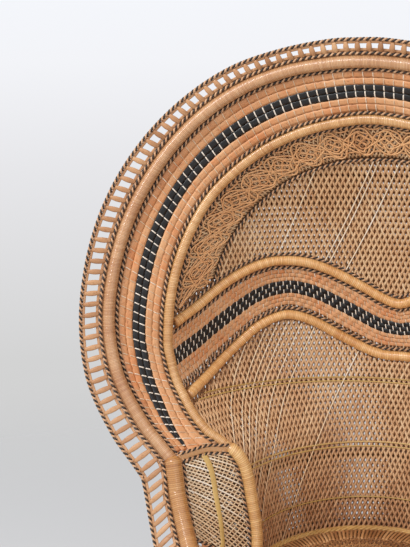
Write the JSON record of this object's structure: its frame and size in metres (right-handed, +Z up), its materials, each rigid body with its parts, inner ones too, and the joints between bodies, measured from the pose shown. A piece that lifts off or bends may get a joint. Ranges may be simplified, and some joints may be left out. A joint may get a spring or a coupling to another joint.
{
  "type": "peacock chair",
  "caption": "Woven rattan peacock chair with a round flared hood, dished lattice back with a wavy band, sweeping arms, round seat and hourglass pedestal.",
  "frame": {"origin": "on the floor, at the middle of the chair's bounding box", "axes": "+Z up, the sitter faces -Y, +X to the right of a person who looks at the front"},
  "size_m": [1.0824, 0.6486, 1.4581],
  "materials": {
    "bound_pole": "satin",
    "arm_pole": "satin",
    "woven_peel": "satin",
    "black_peel": "satin",
    "lattice_strand": "matte",
    "loop_peel": "satin",
    "braid": "satin",
    "flat_peel": "satin",
    "frame_pole": "matte"
  },
  "bodies": {
    "root": {"hood_outer_tube": "bound_pole", "hood_inner_tube": "bound_pole", "wave_upper_tube": "bound_pole", "wave_lower_tube": "bound_pole", "seat_ring": "bound_pole", "seat_front_rail": "bound_pole", "waist_ring": "bound_pole", "base_hoop": "bound_pole", "arm_outer_post_left": "arm_pole", "arm_outer_post_right": "arm_pole", "arm_inner_post_left": "arm_pole", "arm_inner_post_right": "arm_pole", "hood_band_inner": "woven_peel", "hood_band_outer": "woven_peel", "wave_band_lower": "woven_peel", "wave_band_upper": "woven_peel", "seat_front_band": "woven_peel", "seat_panel": "woven_peel", "pedestal_top_band": "woven_peel", "pedestal_bottom_band": "woven_peel", "hood_band_black": "black_peel", "wave_band_black": "black_peel", "upper_lattice": "lattice_strand", "lower_lattice": "lattice_strand", "pedestal_upper_lattice": "lattice_strand", "pedestal_lower_lattice": "lattice_strand", "arm_panel_inner_left": "lattice_strand", "arm_panel_inner_right": "lattice_strand", "arm_panel_outer_left": "lattice_strand", "arm_panel_outer_right": "lattice_strand", "hood_loop_border": "loop_peel", "seat_front_loop_border": "loop_peel", "lace_ring": "loop_peel", "arm_loop_border_left": "loop_peel", "arm_loop_border_right": "loop_peel", "hood_edge_braid": "braid", "lace_braid": "braid", "arm_rib_left": "flat_peel", "arm_rib_right": "flat_peel", "neck_bridge_left": "flat_peel", "neck_bridge_right": "flat_peel", "back_rib_1": "frame_pole", "back_rib_2": "frame_pole", "back_rib_3": "frame_pole", "back_rib_4": "frame_pole", "back_rib_5": "frame_pole", "seat_pole_front": "frame_pole", "seat_pole_rear": "frame_pole", "base_post_1": "frame_pole", "base_post_2": "frame_pole", "base_post_3": "frame_pole", "base_post_4": "frame_pole", "base_post_5": "frame_pole", "base_post_6": "frame_pole"}
  },
  "joints": []
}
